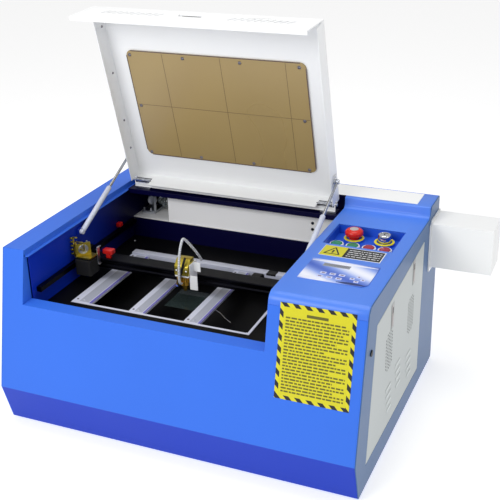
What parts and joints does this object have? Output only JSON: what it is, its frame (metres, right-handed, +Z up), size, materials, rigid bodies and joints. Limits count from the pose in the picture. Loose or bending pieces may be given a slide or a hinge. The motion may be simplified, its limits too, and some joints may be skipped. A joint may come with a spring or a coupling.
{
  "type": "desktop laser cutter",
  "caption": "Desktop laser cutter with an open windowed lid, gantry and head over a barred bed, raised switch console and a side tube housing.",
  "frame": {"origin": "centre of the base plate's underside; the rubber feet reach 6 mm below it", "axes": "+X to the right-hand side with the tube housing, +Y from the front face to the rear, +Z up"},
  "size_m": [0.986, 0.666, 0.8794],
  "materials": {
    "painted_blue": "blue powder coat, satin",
    "painted_dark_blue": "dark blue powder coat, satin",
    "painted_white": "white powder coat, satin",
    "black_metal": "black coated metal",
    "steel": "bright steel",
    "brass": "gold anodised and brass parts",
    "acrylic": "brown tinted acrylic",
    "tube_glass": "clear glass",
    "rubber": "black rubber",
    "black_plastic": "black plastic",
    "clear_hose": "translucent silicone hose",
    "red_plastic": "red moulded plastic",
    "green_plastic": "green moulded plastic",
    "chrome": "chromed switch body",
    "overlay": "printed keypad overlay"
  },
  "bodies": {
    "cabinet": {"base_plate": "painted_blue", "front_panel": "painted_blue", "left_side_panel": "painted_blue", "left_top_rail": "painted_blue", "right_side_panel": "painted_blue", "console_cover": "painted_blue", "rear_cover": "painted_white", "rear_panel": "painted_blue", "exhaust_collar": "steel", "power_inlet": "black_plastic", "foot_front_left": "rubber", "foot_front_right": "rubber", "foot_rear_left": "rubber", "foot_rear_right": "rubber", "bed_tray": "black_metal", "bed_deck": "black_metal", "bay_lining": "painted_dark_blue", "hinge_rail": "painted_dark_blue", "lid_hinge_left": "black_metal", "lid_hinge_right": "black_metal", "tube_shelf": "painted_white", "tube_partition": "painted_white", "bed_frame": "painted_white", "laser_tube": "tube_glass", "tube_clamp_left": "black_plastic", "tube_clamp_right": "black_plastic", "tube_flange": "painted_blue", "tube_housing": "painted_white", "mirror_mount_1": "brass", "y_rail_left": "steel", "y_rail_right": "steel", "button_tray": "painted_dark_blue", "control_panel": "overlay"},
    "lid": {"lid_shell": "painted_white", "lid_window": "acrylic"},
    "left_strut_tube": {"strut_cylinder_left": "steel"},
    "left_strut_rod": {"strut_rod_left": "black_metal"},
    "right_strut_tube": {"strut_cylinder_right": "steel"},
    "right_strut_rod": {"strut_rod_right": "black_metal"},
    "gantry": {"gantry_beam": "black_metal", "gantry_carriage_left": "steel", "gantry_carriage_right": "steel", "x_motor": "black_metal", "mirror_mount_2": "brass", "cable_chain": "rubber"},
    "head": {"head_carriage": "black_metal", "head_block": "brass", "lens_nozzle": "brass", "head_bracket": "painted_white", "air_hose": "clear_hose"},
    "green_button_1": {"green_button_left": "green_plastic"},
    "green_button_2": {"green_button_right": "green_plastic"},
    "red_button_1": {"red_button_left": "red_plastic"},
    "red_button_2": {"red_button_right": "red_plastic"},
    "stop_button": {"emergency_stop": "red_plastic"},
    "key": {"key_switch": "chrome"},
    "door": {"service_door": "painted_white"},
    "front_latch": {"door_latch_front": "black_plastic"},
    "rear_latch": {"door_latch_rear": "black_plastic"}
  },
  "joints": [
    {"name": "lid_hinge", "type": "hinge", "parent": "cabinet", "child": "lid", "pos_m": [-0.072, 0.212, 0.422], "axis": [1, 0, 0], "range_deg": [0, 74.8]},
    {"name": "left_strut_pivot", "type": "hinge", "parent": "cabinet", "child": "left_strut_tube", "pos_m": [-0.35, -0.038, 0.374], "axis": [1, 0, 0], "range_deg": [-10.32, 0.2]},
    {"name": "left_strut_rod_slide", "type": "slide", "parent": "left_strut_tube", "child": "left_strut_rod", "axis": [0, 0.9027, 0.4302], "range_m": [-0.06997, 0.0005]},
    {"name": "right_strut_pivot", "type": "hinge", "parent": "cabinet", "child": "right_strut_tube", "pos_m": [0.2055, -0.038, 0.374], "axis": [1, 0, 0], "range_deg": [-10.32, 0.2]},
    {"name": "right_strut_rod_slide", "type": "slide", "parent": "right_strut_tube", "child": "right_strut_rod", "axis": [0, 0.9027, 0.4302], "range_m": [-0.06997, 0.0005]},
    {"name": "gantry_y", "type": "slide", "parent": "cabinet", "child": "gantry", "axis": [0, 1, 0], "range_m": [-0.105, 0.18]},
    {"name": "head_x", "type": "slide", "parent": "gantry", "child": "head", "axis": [1, 0, 0], "range_m": [-0.204, 0.191]},
    {"name": "green_button_1_press", "type": "slide", "parent": "cabinet", "child": "green_button_1", "axis": [0, 0, -1], "range_m": [0, 0.003], "stiffness_N_per_m": 900},
    {"name": "green_button_2_press", "type": "slide", "parent": "cabinet", "child": "green_button_2", "axis": [0, 0, -1], "range_m": [0, 0.003], "stiffness_N_per_m": 900},
    {"name": "red_button_1_press", "type": "slide", "parent": "cabinet", "child": "red_button_1", "axis": [0, 0, -1], "range_m": [0, 0.003], "stiffness_N_per_m": 900},
    {"name": "red_button_2_press", "type": "slide", "parent": "cabinet", "child": "red_button_2", "axis": [0, 0, -1], "range_m": [0, 0.003], "stiffness_N_per_m": 900},
    {"name": "stop_button_press", "type": "slide", "parent": "cabinet", "child": "stop_button", "axis": [0, 0, -1], "range_m": [0, 0.004], "stiffness_N_per_m": 2500},
    {"name": "key_turn", "type": "hinge", "parent": "cabinet", "child": "key", "pos_m": [0.348, 0.102, 0.388], "axis": [0, 0, 1], "range_deg": [-90, 0]},
    {"name": "service_door_hinge", "type": "hinge", "parent": "cabinet", "child": "door", "pos_m": [0.42, -0.038, 0.045], "axis": [0, 1, 0], "range_deg": [0, 90]},
    {"name": "front_latch_pull", "type": "hinge", "parent": "door", "child": "front_latch", "pos_m": [0.422, -0.079, 0.2876], "axis": [0, 1, 0], "range_deg": [0, 40]},
    {"name": "rear_latch_pull", "type": "hinge", "parent": "door", "child": "rear_latch", "pos_m": [0.422, 0.093, 0.3116], "axis": [0, 1, 0], "range_deg": [0, 40]}
  ],
  "couplings": [
    {"joint": "left_strut_pivot", "follows": "lid_hinge", "ratio": -0.13657},
    {"joint": "left_strut_rod_slide", "follows": "lid_hinge", "m_per_rad": -0.053065},
    {"joint": "right_strut_pivot", "follows": "lid_hinge", "ratio": -0.13657},
    {"joint": "right_strut_rod_slide", "follows": "lid_hinge", "m_per_rad": -0.053065}
  ]
}
